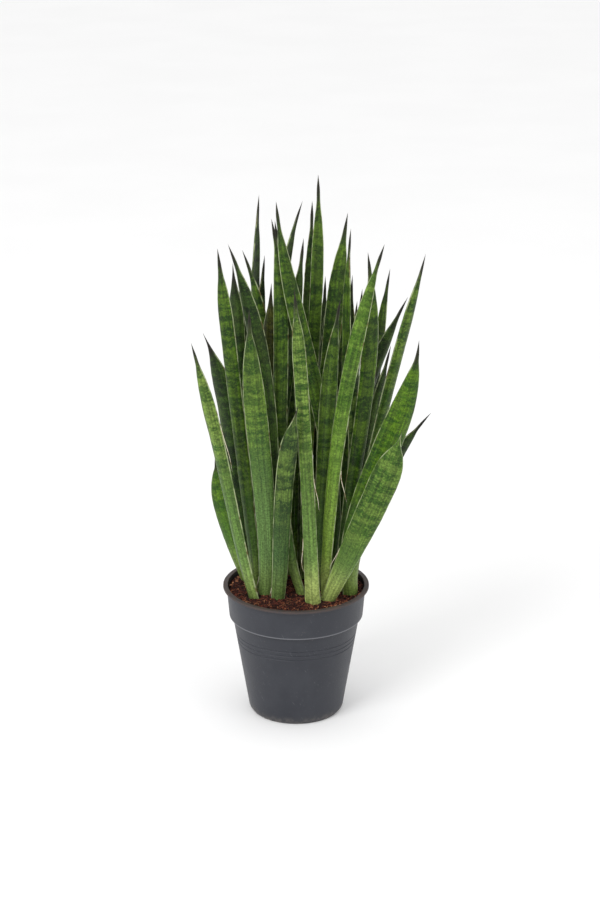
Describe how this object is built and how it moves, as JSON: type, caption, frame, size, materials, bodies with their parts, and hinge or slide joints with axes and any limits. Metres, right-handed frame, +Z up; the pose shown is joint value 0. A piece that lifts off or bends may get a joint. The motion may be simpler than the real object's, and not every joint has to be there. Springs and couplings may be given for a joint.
{
  "type": "potted snake plant",
  "caption": "Snake plant with upright banded sword leaves, growing in soil in a round tapered plastic nursery pot.",
  "frame": {"origin": "centre of the pot's underside, on the surface that the pot stands on", "axes": "+Z up along the pot's axis, -Y towards the plant's front, +X to the right seen from the front"},
  "size_m": [0.2689, 0.1906, 0.63],
  "materials": {
    "pot_plastic": "satin",
    "potting_soil": "matte",
    "leaf_green": "satin",
    "leaf_pale": "satin"
  },
  "bodies": {
    "root": {"pot": "pot_plastic", "soil": "potting_soil", "front_leaf_1": "leaf_pale", "front_leaf_2": "leaf_pale", "front_leaf_3": "leaf_pale", "front_leaf_4": "leaf_pale", "front_leaf_5": "leaf_pale", "front_leaf_6": "leaf_pale", "front_leaf_7": "leaf_pale", "left_leaf_1": "leaf_green", "left_leaf_2": "leaf_green", "left_leaf_3": "leaf_green", "left_leaf_4": "leaf_green", "left_leaf_5": "leaf_green", "left_leaf_6": "leaf_green", "left_leaf_7": "leaf_green", "back_left_leaf_1": "leaf_green", "back_left_leaf_2": "leaf_green", "back_left_leaf_3": "leaf_green", "back_left_leaf_4": "leaf_green", "back_left_leaf_5": "leaf_green", "back_left_leaf_6": "leaf_green", "back_left_leaf_7": "leaf_green", "back_leaf_1": "leaf_green", "back_leaf_2": "leaf_green", "back_leaf_3": "leaf_green", "back_leaf_4": "leaf_green", "back_leaf_5": "leaf_green", "back_leaf_6": "leaf_green", "back_leaf_7": "leaf_green", "back_leaf_8": "leaf_green", "right_leaf_1": "leaf_green", "right_leaf_2": "leaf_green", "right_leaf_3": "leaf_green", "right_leaf_4": "leaf_green", "right_leaf_5": "leaf_green", "right_leaf_6": "leaf_green", "right_leaf_7": "leaf_green", "right_leaf_8": "leaf_green", "right_leaf_9": "leaf_green", "right_leaf_10": "leaf_green", "right_leaf_11": "leaf_green", "right_leaf_12": "leaf_green"}
  },
  "joints": []
}
